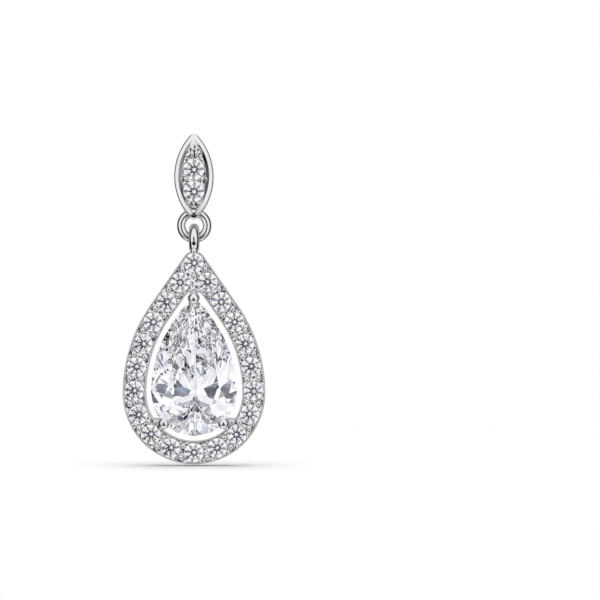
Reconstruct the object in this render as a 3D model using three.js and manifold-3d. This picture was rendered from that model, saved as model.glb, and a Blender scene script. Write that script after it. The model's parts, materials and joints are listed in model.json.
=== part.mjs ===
// A drop earring. A marquise-shaped stud with two round stones carries a soldered ring, and a teardrop
// halo of round stones swings from that ring by its bail, with a pear-cut stone held inside by three claws.
// Millimetres. Everything is drawn in the earring's face plane, x to the right, y up and z towards the
// viewer, and the outer group turns that to X right, Y back, Z up. The origin is where the ear post leaves
// the stud's flat back.
import * as THREE from "three";
import { mergeVertices } from "three/addons/utils/BufferGeometryUtils.js";
import Module from "manifold-3d";

const wasm = await Module();
wasm.setup();

// Stud
const STUD_HEIGHT = 6.94;
const STUD_WIDTH = 3.2;
const STUD_TIP_RADIUS = 0.45;
const STUD_DEPTH = 1.7;
const STUD_EDGE = 0.12;
const POCKET_HEIGHT = 5.36;
const POCKET_WIDTH = 2.4;
const POCKET_TIP_RADIUS = 0.3;
const POCKET_LOW = 0.36;
const POCKET_DEPTH = 0.46;
const POCKET_TAPER = 0.16;
const STUD_STONE_DIAMETER = 1.76;
const STUD_STONE_GAP = 0.05;
const STUD_STONES_LOW = 0.3;
const STUD_STONE_LIFT = 0.06;
const STUD_BEAD_RADIUS = 0.24;

// Ear post
const POST_DIAMETER = 0.8;
const POST_LENGTH = 10.5;
const POST_SOCKET_DEPTH = 0.25;

// Ring on the stud and bail on the drop
const RING_RADIUS = 1.06;
const RING_WIRE = 0.72;
const RING_SUNK = 0.54;
const BAIL_WIRE = 0.84;
const LINK_CLEARANCE = 0.05;
const BAIL_SUNK = 0.22;

// Halo of the drop: a teardrop with a round head, two long side arcs and two straight runs to the tip
const HEAD_RADIUS = 5.82;
const SIDE_RADIUS = 12.52;
const TIP_HALF_ANGLE = THREE.MathUtils.degToRad(34.8);
const HALO_DEPTH = 1.6;
const HALO_EDGE = 0.06;
const HALO_STONE_DIAMETER = 1.64;
const HALO_STONE_GAP = 0.26;
const HALO_RAIL = 0.12;
const CHANNEL_DEPTH = 0.12;
const OPENING_TIP_RADIUS = 0.9;
const HALO_BEAD_RADIUS = 0.26;
const HALO_BEAD_OFFSET = 0.46;
const HALO_DRILL_DIAMETER = 0.9;

// Pear stone and its claws
const PEAR_GAP = 0.42;
const PEAR_TIP_RADIUS = 0.6;
const PEAR_LIFT = 0.1;
const CLAW_WIRE = 0.68;
const CLAW_BALL_RADIUS = 0.5;
const CLAW_LEAN = 0.08;
const CLAW_ANGLE = THREE.MathUtils.degToRad(45);
const SETTING_CLEARANCE = 0.04;

// How each stone is cut: heights are shares of the stone's half width, the table's width a share of the
// stone's, and the stars and lower halves end at a share of the crown and the pavilion. The pear's table
// lies off the middle of its head by a share of its half width.
const ROUND_CUT = {
  mains: 8,
  crown: 0.33,
  table: 0.56,
  stars: 0.55,
  girdle: 0.06,
  pavilion: 0.86,
  halves: 0.76,
};
const PEAR_CUT = {
  mains: 14,
  crown: 0.3,
  table: 0.58,
  stars: 0.5,
  girdle: 0.04,
  pavilion: 0.8,
  halves: 0.7,
};
const PEAR_TABLE_RISE = 0.34;

// Sides of the round forms
const WIRE_SIDES = 8;
const RING_SIDES = 20;
const BEAD_SIDES = 10;
const BALL_SIDES = 12;
const POST_SIDES = 16;
const DRILL_SIDES = 8;
const ARC_STEPS = 6;

// Places that follow from the sizes
const studHalfHeight = STUD_HEIGHT / 2;
const ringCentreY = -studHalfHeight + RING_SUNK - RING_RADIUS;
const linkZ = RING_WIRE / 2 + SETTING_CLEARANCE;
const pivotY = ringCentreY - RING_RADIUS;
const bailRadius = RING_WIRE / 2 + LINK_CLEARANCE + BAIL_WIRE / 2;
const haloWidth = HALO_STONE_DIAMETER + 2 * HALO_RAIL;
const topStoneY = pivotY - bailRadius - BAIL_WIRE / 2 + BAIL_SUNK - haloWidth / 2;
const headCentreY = topStoneY - teardrop(haloWidth / 2, 0).tipCentreY;
const haloBackZ = linkZ - HALO_DEPTH / 2;
const haloFrontZ = linkZ + HALO_DEPTH / 2;
const channelZ = haloFrontZ - CHANNEL_DEPTH;
const pearInset = haloWidth + PEAR_GAP;
const pearGirdleZ = haloFrontZ + PEAR_LIFT;
const pocketZ = STUD_DEPTH - POCKET_DEPTH;

const silver = new THREE.MeshStandardMaterial({ color: 0xd9dadd, metalness: 1, roughness: 0.12 });
const stoneWhite = new THREE.MeshStandardMaterial({ color: 0xf4f6fa, metalness: 0, roughness: 0.03 });

// A closed geometry as a solid that can be joined and cut.
function solidFrom(geometry) {
  const bare = geometry.clone();
  bare.deleteAttribute("normal");
  bare.deleteAttribute("uv");
  const merged = mergeVertices(bare, 1e-5);
  const mesh = { numProp: 3, vertProperties: merged.attributes.position.array };
  return new wasm.Manifold(new wasm.Mesh({ ...mesh, triVerts: new Uint32Array(merged.index.array) }));
}

// A named mesh of a finished solid.
function meshOf(name, solid, material) {
  const { vertProperties, triVerts } = solid.getMesh();
  const geometry = new THREE.BufferGeometry();
  geometry.setAttribute("position", new THREE.BufferAttribute(vertProperties, 3));
  geometry.setIndex(new THREE.BufferAttribute(triVerts, 1));
  geometry.computeVertexNormals();
  const mesh = new THREE.Mesh(geometry, material);
  mesh.name = name;
  return mesh;
}

function joined(solids) {
  return solids.reduce((whole, next) => whole.add(next));
}

// A closed geometry between two outlines of equally many points, one at each height.
function loft(lower, lowerZ, upper, upperZ) {
  const count = lower.length;
  const positions = [];
  for (const p of lower) positions.push(p.x, p.y, lowerZ);
  for (const p of upper) positions.push(p.x, p.y, upperZ);
  const faces = [];
  for (let i = 0; i < count; i++) {
    const next = (i + 1) % count;
    faces.push(i, next, count + next, i, count + next, count + i);
  }
  for (const [a, b, c] of THREE.ShapeUtils.triangulateShape(lower, [])) faces.push(c, b, a);
  for (const face of THREE.ShapeUtils.triangulateShape(upper, [])) faces.push(...face.map((v) => count + v));
  const geometry = new THREE.BufferGeometry();
  geometry.setAttribute("position", new THREE.Float32BufferAttribute(positions, 3));
  geometry.setIndex(faces);
  return geometry;
}

// The halo's teardrop moved inwards by inset, with a tip rounded to tipRadius, about the head's centre.
// at(s) is a point and outward normal on the right half, s along it from the bottom to the tip.
function teardrop(inset, tipRadius) {
  const head = HEAD_RADIUS - inset;
  const side = SIDE_RADIUS - inset;
  const sideCentreX = HEAD_RADIUS - SIDE_RADIUS;
  const flank = new THREE.Vector2(Math.cos(TIP_HALF_ANGLE), Math.sin(TIP_HALF_ANGLE));
  const tipCentreY = (sideCentreX * flank.x + side - tipRadius) / flank.y;
  const sideEnd = new THREE.Vector2(sideCentreX, 0).addScaledVector(flank, side);
  const tipStart = new THREE.Vector2(0, tipCentreY).addScaledVector(flank, tipRadius);
  const headLength = (head * Math.PI) / 2;
  const sideLength = side * TIP_HALF_ANGLE;
  const runLength = sideEnd.distanceTo(tipStart);
  const tipLength = tipRadius * (Math.PI / 2 - TIP_HALF_ANGLE);

  function onArc(x, y, radius, angle) {
    const normal = new THREE.Vector2(Math.cos(angle), Math.sin(angle));
    return { point: new THREE.Vector2(x, y).addScaledVector(normal, radius), normal };
  }

  function at(s) {
    if (s <= headLength) return onArc(0, 0, head, s / head - Math.PI / 2);
    if (s <= headLength + sideLength) return onArc(sideCentreX, 0, side, (s - headLength) / side);
    const along = s - headLength - sideLength;
    if (along <= runLength) {
      return { point: sideEnd.clone().lerp(tipStart, along / runLength), normal: flank.clone() };
    }
    const turn = tipRadius > 0 ? (along - runLength) / tipRadius : 0;
    return onArc(0, tipCentreY, tipRadius, Math.min(TIP_HALF_ANGLE + turn, Math.PI / 2));
  }

  function shape(Kind = THREE.Shape) {
    const made = new Kind();
    made.absarc(0, 0, head, -Math.PI / 2, 0, false);
    made.absarc(sideCentreX, 0, side, 0, TIP_HALF_ANGLE, false);
    made.absarc(0, tipCentreY, tipRadius, TIP_HALF_ANGLE, Math.PI - TIP_HALF_ANGLE, false);
    made.absarc(-sideCentreX, 0, side, Math.PI - TIP_HALF_ANGLE, Math.PI, false);
    made.absarc(0, 0, head, Math.PI, (3 * Math.PI) / 2, false);
    return made;
  }

  return { tipCentreY, halfLength: headLength + sideLength + runLength + tipLength, at, shape };
}

function mirrored({ point, normal }) {
  return { point: new THREE.Vector2(-point.x, point.y), normal: new THREE.Vector2(-normal.x, normal.y) };
}

// A band between two teardrops, drawn as a plate of the given height with softened edges.
function teardropBand(outer, inner, z, height, edge) {
  const shape = outer.shape();
  shape.holes.push(inner.shape(THREE.Path));
  const bevel = { bevelEnabled: edge > 0, bevelThickness: edge, bevelSize: edge, bevelOffset: -edge };
  const steps = { depth: height - 2 * edge, bevelSegments: 1, curveSegments: ARC_STEPS };
  const geometry = new THREE.ExtrudeGeometry(shape, { ...bevel, ...steps });
  geometry.translate(0, 0, z + edge);
  return geometry;
}

// A pointed oval moved inwards by inset: two side arcs that run into round tips.
function marquiseShape(width, height, tipRadius, inset) {
  const tip = tipRadius - inset;
  const halfWidth = width / 2 - inset;
  const halfHeight = height / 2 - inset;
  const side = (halfWidth ** 2 + halfHeight ** 2 - 2 * halfHeight * tip) / (2 * (halfWidth - tip));
  const sideCentreX = halfWidth - side;
  const tipCentreY = halfHeight - tip;
  const sweep = Math.atan2(tipCentreY, -sideCentreX);
  const made = new THREE.Shape();
  made.absarc(sideCentreX, 0, side, -sweep, sweep, false);
  made.absarc(0, tipCentreY, tip, sweep, Math.PI - sweep, false);
  made.absarc(-sideCentreX, 0, side, Math.PI - sweep, Math.PI + sweep, false);
  made.absarc(0, -tipCentreY, tip, Math.PI + sweep, 2 * Math.PI - sweep, false);
  return made;
}

// The points of a closed outline, each once.
function outlinePoints(shape) {
  const points = shape.getPoints(ARC_STEPS);
  return points.filter((point, i) => point.distanceTo(points.at(i - 1)) > 1e-6);
}

// Where the girdle's tangents at two stations meet, or halfway between the two on a straight run.
function tangentCorner(a, b) {
  const reachA = a.normal.dot(a.point);
  const reachB = b.normal.dot(b.point);
  const cross = a.normal.cross(b.normal);
  if (Math.abs(cross) < 1e-6) return a.point.clone().lerp(b.point, 0.5);
  const x = (reachA * b.normal.y - reachB * a.normal.y) / cross;
  const y = (reachB * a.normal.x - reachA * b.normal.x) / cross;
  return new THREE.Vector2(x, y);
}

// A brilliant cut on any outline. ring holds two stations a main facet, counter-clockwise round the girdle,
// whose middle is at z 0. The crown's planes run to a point over crownCentre, the pavilion's to the culet
// under the origin, so every facet is flat.
function cutStone(ring, halfWidth, cut, crownCentre) {
  const mains = ring.filter((station, i) => i % 2 === 0);
  const culet = new THREE.Vector2(0, 0);
  const edge = (halfWidth * cut.girdle) / 2;
  const crown = halfWidth * cut.crown;
  const pavilion = halfWidth * cut.pavilion;
  const corners = mains.map((main, i) => tangentCorner(main, mains[(i + 1) % mains.length]));
  const starWidth = 1 - (1 - cut.table) * cut.stars;
  const positions = [];
  function row(points, centre, share, z) {
    const first = positions.length / 3;
    for (const point of points) {
      const place = centre.clone().lerp(point, share);
      positions.push(place.x, place.y, z);
    }
    return (i) => first + ((i + points.length) % points.length);
  }
  const outline = ring.map((station) => station.point);
  const table = row(mains.map((main) => main.point), crownCentre, cut.table, edge + crown);
  const star = row(corners, crownCentre, starWidth, edge + crown * cut.stars);
  const upper = row(outline, culet, 1, edge);
  const lower = row(outline, culet, 1, -edge);
  const half = row(corners, culet, 1 - cut.halves, -edge - pavilion * cut.halves);
  const point = row([culet], culet, 0, -edge - pavilion)(0);
  const faces = [];
  for (let i = 0; i < mains.length; i++) {
    const at = 2 * i;
    if (i > 1) faces.push(table(0), table(i - 1), table(i));
    faces.push(table(i), star(i), table(i + 1));
    faces.push(table(i), star(i - 1), upper(at), table(i), upper(at), star(i));
    faces.push(star(i), upper(at), upper(at + 1), star(i), upper(at + 1), upper(at + 2));
    faces.push(half(i), lower(at + 1), lower(at), half(i), lower(at + 2), lower(at + 1));
    faces.push(point, lower(at), half(i - 1), point, half(i), lower(at));
  }
  for (let j = 0; j < ring.length; j++) {
    faces.push(lower(j), lower(j + 1), upper(j + 1), lower(j), upper(j + 1), upper(j));
  }
  const geometry = new THREE.BufferGeometry();
  geometry.setAttribute("position", new THREE.Float32BufferAttribute(positions, 3));
  geometry.setIndex(faces);
  return solidFrom(geometry);
}

function roundStone(radius) {
  const ring = Array.from({ length: 2 * ROUND_CUT.mains }, (_, i) => {
    const angle = (i * Math.PI) / ROUND_CUT.mains;
    const normal = new THREE.Vector2(Math.cos(angle), Math.sin(angle));
    return { point: normal.clone().multiplyScalar(radius), normal };
  });
  return cutStone(ring, radius, ROUND_CUT, new THREE.Vector2(0, 0));
}

// The pear stone, or the seat that it is set in where inset is less than its own.
function pearStone(inset) {
  const drop = teardrop(inset, PEAR_TIP_RADIUS + pearInset - inset);
  const count = PEAR_CUT.mains;
  const right = Array.from({ length: count + 1 }, (_, i) => drop.at((drop.halfLength * i) / count));
  const ring = [...right, ...right.slice(1, -1).reverse().map(mirrored)];
  const halfWidth = HEAD_RADIUS - inset;
  const stone = cutStone(ring, halfWidth, PEAR_CUT, new THREE.Vector2(0, halfWidth * PEAR_TABLE_RISE));
  return stone.translate([0, headCentreY, pearGirdleZ]);
}

// A bead of metal raised beside a stone: a short stem with a domed head, its top at topZ.
function bead(x, y, topZ, radius) {
  const stem = radius;
  const profile = [
    new THREE.Vector2(0, -stem),
    new THREE.Vector2(radius, -stem),
    new THREE.Vector2(radius, 0),
    new THREE.Vector2(radius * Math.cos(Math.PI / 4), radius * Math.sin(Math.PI / 4)),
    new THREE.Vector2(0, radius),
  ];
  const geometry = new THREE.LatheGeometry(profile, BEAD_SIDES);
  geometry.rotateX(Math.PI / 2);
  geometry.translate(x, y, topZ - radius);
  return solidFrom(geometry);
}

function sphere(centre, radius) {
  const geometry = new THREE.SphereGeometry(radius, BALL_SIDES, BALL_SIDES);
  geometry.translate(centre.x, centre.y, centre.z);
  return solidFrom(geometry);
}

// A round wire bent along a curve, with flat ends.
function wire(curve, diameter, steps) {
  const section = new THREE.Shape(
    Array.from({ length: WIRE_SIDES }, (_, i) => {
      const angle = (2 * Math.PI * i) / WIRE_SIDES;
      return new THREE.Vector2(Math.cos(angle), Math.sin(angle)).multiplyScalar(diameter / 2);
    }),
  );
  return solidFrom(new THREE.ExtrudeGeometry(section, { steps, extrudePath: curve, bevelEnabled: false }));
}

// Stones of the halo, bottom one first, then up the right side and down the left
const haloLine = teardrop(haloWidth / 2, 0);
const haloSteps = Math.floor(haloLine.halfLength / (HALO_STONE_DIAMETER + HALO_STONE_GAP));
const haloPitch = haloLine.halfLength / haloSteps;
const rightStations = Array.from({ length: haloSteps + 1 }, (_, i) => haloLine.at(haloPitch * i));
const haloStations = [...rightStations, ...rightStations.slice(1, -1).reverse().map(mirrored)];

// Beads in pairs between neighbouring stones, where the pair nearest the tip shares its inner bead, and one
// bead over the tip stone.
function haloBeads() {
  const beads = [];
  const topZ = channelZ + HALO_BEAD_RADIUS;
  for (let i = 0; i < haloSteps; i++) {
    const between = haloLine.at(haloPitch * (i + 0.5));
    for (const station of [between, mirrored(between)]) {
      for (const side of i === haloSteps - 1 ? [1] : [1, -1]) {
        const place = station.point.clone().addScaledVector(station.normal, side * HALO_BEAD_OFFSET);
        beads.push(bead(place.x, headCentreY + place.y, topZ, HALO_BEAD_RADIUS));
      }
    }
  }
  const reach = HALO_STONE_DIAMETER / 2 + HALO_BEAD_RADIUS;
  beads.push(bead(0, topStoneY - reach, topZ, HALO_BEAD_RADIUS));
  beads.push(bead(0, topStoneY + reach, topZ, HALO_BEAD_RADIUS));
  return beads;
}

// A claw stands in the gap beside the pear's girdle on a stub from the halo's wall, leans over the girdle
// and ends in a ball on the crown.
function claw({ point, normal }) {
  const stand = SETTING_CLEARANCE + CLAW_WIRE / 2;
  const footZ = haloBackZ + HALO_EDGE + CLAW_WIRE / 2;
  const reach = PEAR_GAP / Math.sin(TIP_HALF_ANGLE) + haloWidth / 2;
  const place = (out, z) => {
    const spot = point.clone().addScaledVector(normal, out);
    return new THREE.Vector3(spot.x, headCentreY + spot.y, z);
  };
  const crownTilt = Math.atan(PEAR_CUT.crown / (1 - PEAR_CUT.table));
  const ballZ = pearGirdleZ + (CLAW_BALL_RADIUS + SETTING_CLEARANCE) / Math.cos(crownTilt);
  const ball = place(-CLAW_LEAN, ballZ);
  const path = new THREE.CurvePath();
  path.add(new THREE.LineCurve3(place(stand, footZ), place(stand, pearGirdleZ)));
  path.add(new THREE.QuadraticBezierCurve3(place(stand, pearGirdleZ), place(stand, ballZ), ball));
  const stub = new THREE.LineCurve3(place(stand, footZ), place(reach, footZ));
  return [wire(path, CLAW_WIRE, 8), wire(stub, CLAW_WIRE, 1), sphere(ball, CLAW_BALL_RADIUS)];
}

function buildDropSetting() {
  const band = teardropBand(
    teardrop(0, haloWidth / 2),
    teardrop(haloWidth, OPENING_TIP_RADIUS),
    haloBackZ,
    HALO_DEPTH,
    HALO_EDGE,
  );
  const channel = teardropBand(
    teardrop(HALO_RAIL, haloWidth / 2 - HALO_RAIL),
    teardrop(haloWidth - HALO_RAIL, OPENING_TIP_RADIUS + HALO_RAIL),
    channelZ,
    2 * CHANNEL_DEPTH,
    0,
  );
  band.translate(0, headCentreY, 0);
  channel.translate(0, headCentreY, 0);
  const bail = new THREE.TorusGeometry(bailRadius, BAIL_WIRE / 2, WIRE_SIDES, RING_SIDES);
  bail.rotateY(Math.PI / 2);
  bail.translate(0, pivotY, linkZ);
  const girdleLine = teardrop(pearInset, PEAR_TIP_RADIUS);
  const lowerClaw = girdleLine.at((HEAD_RADIUS - pearInset) * (Math.PI / 2 - CLAW_ANGLE));
  const claws = [lowerClaw, mirrored(lowerClaw), girdleLine.at(girdleLine.halfLength)].flatMap(claw);
  let metal = solidFrom(band).subtract(solidFrom(channel));
  metal = joined([metal, solidFrom(bail), ...haloBeads(), ...claws]);
  const drillDepth = channelZ - haloBackZ + SETTING_CLEARANCE;
  const drillRadius = HALO_DRILL_DIAMETER / 2;
  const drill = new THREE.CylinderGeometry(drillRadius, drillRadius, drillDepth, DRILL_SIDES);
  drill.rotateX(Math.PI / 2);
  drill.translate(0, 0, -drillDepth / 2);
  const seat = roundStone(HALO_STONE_DIAMETER / 2 + SETTING_CLEARANCE).add(solidFrom(drill));
  for (const { point } of haloStations) {
    metal = metal.subtract(seat.translate([point.x, headCentreY + point.y, channelZ]));
  }
  return metal.subtract(pearStone(pearInset - SETTING_CLEARANCE));
}

const studStonePitch = STUD_STONE_DIAMETER + STUD_STONE_GAP;
const studStoneYs = [1, -1].map((way) => (way * studStonePitch) / 2 - STUD_STONES_LOW);
const studGirdleZ = pocketZ + STUD_STONE_LIFT;

function buildStudSetting() {
  const edge = { bevelThickness: STUD_EDGE, bevelSize: STUD_EDGE, bevelOffset: -STUD_EDGE, bevelSegments: 2 };
  const sweep = { depth: STUD_DEPTH - 2 * STUD_EDGE, ...edge, curveSegments: ARC_STEPS };
  const outline = marquiseShape(STUD_WIDTH, STUD_HEIGHT, STUD_TIP_RADIUS, 0);
  const body = new THREE.ExtrudeGeometry(outline, sweep);
  body.translate(0, 0, STUD_EDGE);
  const pocketOutline = (inset) =>
    outlinePoints(marquiseShape(POCKET_WIDTH, POCKET_HEIGHT, POCKET_TIP_RADIUS, inset));
  const mouthZ = STUD_DEPTH + SETTING_CLEARANCE;
  const pocket = solidFrom(loft(pocketOutline(POCKET_TAPER), pocketZ, pocketOutline(0), mouthZ));
  const socketRadius = POST_DIAMETER / 2 + SETTING_CLEARANCE;
  const socket = new THREE.CylinderGeometry(socketRadius, socketRadius, 2 * POST_SOCKET_DEPTH, POST_SIDES);
  socket.rotateX(Math.PI / 2);
  const ring = new THREE.TorusGeometry(RING_RADIUS, RING_WIRE / 2, WIRE_SIDES, RING_SIDES);
  ring.translate(0, ringCentreY, linkZ);
  const middleY = (studStoneYs[0] + studStoneYs[1]) / 2;
  const reach = STUD_STONE_DIAMETER / 2 + STUD_BEAD_RADIUS * 0.8;
  const beadX = Math.sqrt(reach ** 2 - (studStoneYs[0] - middleY) ** 2);
  const beadPlaces = [
    [0, studStoneYs[0] + reach],
    [-beadX, middleY],
    [beadX, middleY],
    [0, studStoneYs[1] - reach],
  ];
  const beads = beadPlaces.map(([x, y]) => bead(x, y, pocketZ + STUD_BEAD_RADIUS * 1.4, STUD_BEAD_RADIUS));
  let metal = solidFrom(body).add(solidFrom(ring)).subtract(pocket.translate([0, -POCKET_LOW, 0]));
  metal = joined([metal, ...beads]).subtract(solidFrom(socket));
  const seat = roundStone(STUD_STONE_DIAMETER / 2 + SETTING_CLEARANCE);
  for (const y of studStoneYs) metal = metal.subtract(seat.translate([0, y, studGirdleZ]));
  return metal;
}

// The ear post: a plain pin with a rounded end, its foot in the stud's socket.
function buildEarPost() {
  const radius = POST_DIAMETER / 2;
  const foot = -POST_SOCKET_DEPTH + SETTING_CLEARANCE;
  const profile = [new THREE.Vector2(0, foot), new THREE.Vector2(radius, foot)];
  for (let i = 0; i <= 3; i++) {
    const angle = (i * Math.PI) / 6;
    profile.push(new THREE.Vector2(radius * Math.cos(angle), POST_LENGTH - radius * (1 - Math.sin(angle))));
  }
  profile[profile.length - 1].x = 0;
  const post = new THREE.LatheGeometry(profile, POST_SIDES);
  post.rotateX(-Math.PI / 2);
  return solidFrom(post);
}

const stud = new THREE.Group();
stud.add(meshOf("stud_setting", buildStudSetting(), silver));
stud.add(meshOf("ear_post", buildEarPost(), silver));
studStoneYs.forEach((y, i) => {
  const name = i ? "stud_stone_lower" : "stud_stone_upper";
  const stone = meshOf(name, roundStone(STUD_STONE_DIAMETER / 2), stoneWhite);
  stone.position.set(0, y, studGirdleZ);
  stud.add(stone);
});

const drop = new THREE.Group();
drop.add(meshOf("drop_setting", buildDropSetting(), silver));
drop.add(meshOf("pear_stone", pearStone(pearInset), stoneWhite));
const haloCut = roundStone(HALO_STONE_DIAMETER / 2);
haloStations.forEach(({ point }, i) => {
  const stone = meshOf(`halo_stone_${String(i + 1).padStart(2, "0")}`, haloCut, stoneWhite);
  stone.position.set(point.x, headCentreY + point.y, channelZ);
  drop.add(stone);
});

const earring = new THREE.Group();
earring.add(stud, drop);
earring.rotation.x = Math.PI / 2;

export default earring;
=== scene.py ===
import json
import math

import bmesh
import bpy
import numpy as np
from mathutils import Matrix, Vector


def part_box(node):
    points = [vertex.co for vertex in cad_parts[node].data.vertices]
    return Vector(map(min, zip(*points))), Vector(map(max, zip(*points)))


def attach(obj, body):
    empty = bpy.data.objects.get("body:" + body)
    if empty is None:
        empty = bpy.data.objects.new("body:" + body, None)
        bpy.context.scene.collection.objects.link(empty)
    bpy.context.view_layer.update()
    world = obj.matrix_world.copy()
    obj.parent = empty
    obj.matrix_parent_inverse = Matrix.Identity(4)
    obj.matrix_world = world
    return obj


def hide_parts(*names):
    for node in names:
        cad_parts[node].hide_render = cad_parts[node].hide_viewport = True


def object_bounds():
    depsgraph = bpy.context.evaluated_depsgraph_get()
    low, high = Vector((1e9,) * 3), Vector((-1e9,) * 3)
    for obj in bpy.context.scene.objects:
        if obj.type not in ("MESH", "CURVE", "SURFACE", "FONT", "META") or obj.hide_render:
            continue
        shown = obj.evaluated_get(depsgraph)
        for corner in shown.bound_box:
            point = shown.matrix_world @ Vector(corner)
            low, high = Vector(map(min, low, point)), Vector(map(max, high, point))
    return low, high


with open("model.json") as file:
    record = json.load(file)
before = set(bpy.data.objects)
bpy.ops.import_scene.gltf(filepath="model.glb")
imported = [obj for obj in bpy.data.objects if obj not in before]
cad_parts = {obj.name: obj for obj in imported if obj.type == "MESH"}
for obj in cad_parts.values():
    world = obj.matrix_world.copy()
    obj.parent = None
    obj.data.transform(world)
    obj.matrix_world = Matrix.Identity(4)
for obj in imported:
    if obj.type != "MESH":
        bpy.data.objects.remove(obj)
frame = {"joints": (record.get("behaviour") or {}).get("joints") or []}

# A teardrop drop earring in polished white metal with clear stones. Shapes are worked out in the earring's
# face plane in millimetres (x right, y up, z towards the viewer) and put into the frame by toFrame.
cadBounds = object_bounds()
mm = 0.001
rng = np.random.default_rng(20)

dropBox = np.array(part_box("drop_setting")) / mm
pivot = np.array(frame["joints"][0]["pos_m"]) / mm
linkZ = -pivot[1]
pivotY = pivot[2]
creaseAngle = 32  # degrees, over which an edge of cut metal stays sharp


def toFrame(x, y, z):
    # face plane to the frame: X is x, Y is -z, Z is y, in metres
    x, y, z = np.broadcast_arrays(x, y, z)
    return np.stack([x, -z, y], axis=-1) * mm


def meshObject(name, points, faces, smoothAngle=None):
    # points (n, 3) in metres and faces as index rows; doubles merged, then normals turned outwards
    mesh = bpy.data.meshes.new(name)
    mesh.from_pydata(points.reshape(-1, 3), [], [tuple(f) for f in faces])
    work = bmesh.new()
    work.from_mesh(mesh)
    bmesh.ops.remove_doubles(work, verts=work.verts, dist=2e-7)
    bmesh.ops.dissolve_degenerate(work, edges=work.edges, dist=1e-8)
    bmesh.ops.recalc_face_normals(work, faces=work.faces)
    work.to_mesh(mesh)
    work.free()
    piece = bpy.data.objects.new(name, mesh)
    bpy.context.scene.collection.objects.link(piece)
    if smoothAngle is not None:
        shadeSmooth(piece, smoothAngle)
    return piece


def shadeSmooth(piece, degrees):
    # smooth shading that breaks where two faces meet at more than the given angle
    mesh = piece.data
    mesh.polygons.foreach_set("use_smooth", np.ones(len(mesh.polygons), dtype=bool))
    mesh.set_sharp_from_angle(angle=math.radians(degrees))


def gridFaces(rows, columns, wrapRows, wrapColumns, copies=1):
    # quads of a grid of rows x columns, repeated for that many grids that follow one another
    r = np.arange(rows if wrapRows else rows - 1)[:, None]
    c = np.arange(columns if wrapColumns else columns - 1)[None, :]
    r2, c2 = (r + 1) % rows, (c + 1) % columns
    corners = (r * columns + c, r * columns + c2, r2 * columns + c2, r2 * columns + c)
    quads = np.stack(np.broadcast_arrays(*corners), -1)
    starts = np.arange(copies)[:, None, None] * rows * columns
    return (quads.reshape(1, -1, 4) + starts).reshape(-1, 4)


def put(piece, body, slot, material, *nodes):
    # rides on its body, takes the given finish and stands for the CAD nodes; slot is not used
    piece.data.materials.clear()
    piece.data.materials.append(material)
    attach(piece, body)
    if nodes:
        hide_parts(*nodes)
    return piece


def cutAway(piece, cutter, smoothAngle):
    # boolean difference, applied, and the cutter removed; both are worked on in millimetres, because the
    # solver loses walls that are a hundredth of a millimetre thick when its unit is the metre
    for part in (piece, cutter):
        part.data.transform(Matrix.Scale(1 / mm, 4))
    cut = piece.modifiers.new("seats", "BOOLEAN")
    cut.operation = "DIFFERENCE"
    cut.solver = "MANIFOLD"
    cut.object = cutter
    result = bpy.data.meshes.new_from_object(piece.evaluated_get(bpy.context.evaluated_depsgraph_get()))
    piece.modifiers.clear()
    result.transform(Matrix.Scale(mm, 4))
    piece.data = result
    bpy.data.objects.remove(cutter)
    shadeSmooth(piece, smoothAngle)


dropShape = {
    "headRadius": 5.82,
    "sideRadius": 12.52,
    "tipHalfAngle": math.radians(34.8),
    "bandWidth": 1.88,
    "pearGap": 0.42,
    "pearTip": 0.6,
    "pearRise": 0.1,  # the pear's girdle over the halo's front
    "depth": 1.6,
}
headY = dropBox[0][2] + dropShape["headRadius"]
haloFront = linkZ + dropShape["depth"] / 2
haloBack = linkZ - dropShape["depth"] / 2


def teardropRows(inset, tip, steps=(28, 14, 12, 12)):
    # The halo's outline moved inwards by inset, with a tip of radius tip: a head arc, a long side arc, a
    # straight run and a tip arc on the right, then the same mirrored. inset and tip are arrays of rows.
    s = dropShape
    d = np.atleast_1d(np.asarray(inset, float))[:, None]
    t = np.atleast_1d(np.asarray(tip, float))[:, None]
    angle = s["tipHalfAngle"]
    flank = np.array([math.cos(angle), math.sin(angle)])
    sideX = s["headRadius"] - s["sideRadius"]
    head, side = s["headRadius"] - d, s["sideRadius"] - d
    tipY = (sideX * flank[0] + side - t) / flank[1]
    share = [np.linspace(0, 1, n, endpoint=False)[None, :] for n in steps]
    a1 = -math.pi / 2 + share[0] * math.pi / 2
    a2 = share[1] * angle
    a4 = angle + np.append(share[3], [[1.0]], axis=1) * (math.pi / 2 - angle)
    endX, endY = sideX + side * flank[0], side * flank[1]
    startX, startY = t * flank[0], tipY + t * flank[1]
    x = [head * np.cos(a1), sideX + side * np.cos(a2), endX + (startX - endX) * share[2], t * np.cos(a4)]
    y = [head * np.sin(a1), side * np.sin(a2), endY + (startY - endY) * share[2], tipY + t * np.sin(a4)]
    x, y = np.concatenate(x, axis=1), np.concatenate(y, axis=1)
    return np.concatenate([x, -x[:, -2:0:-1]], axis=1), np.concatenate([y, y[:, -2:0:-1]], axis=1)


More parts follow.
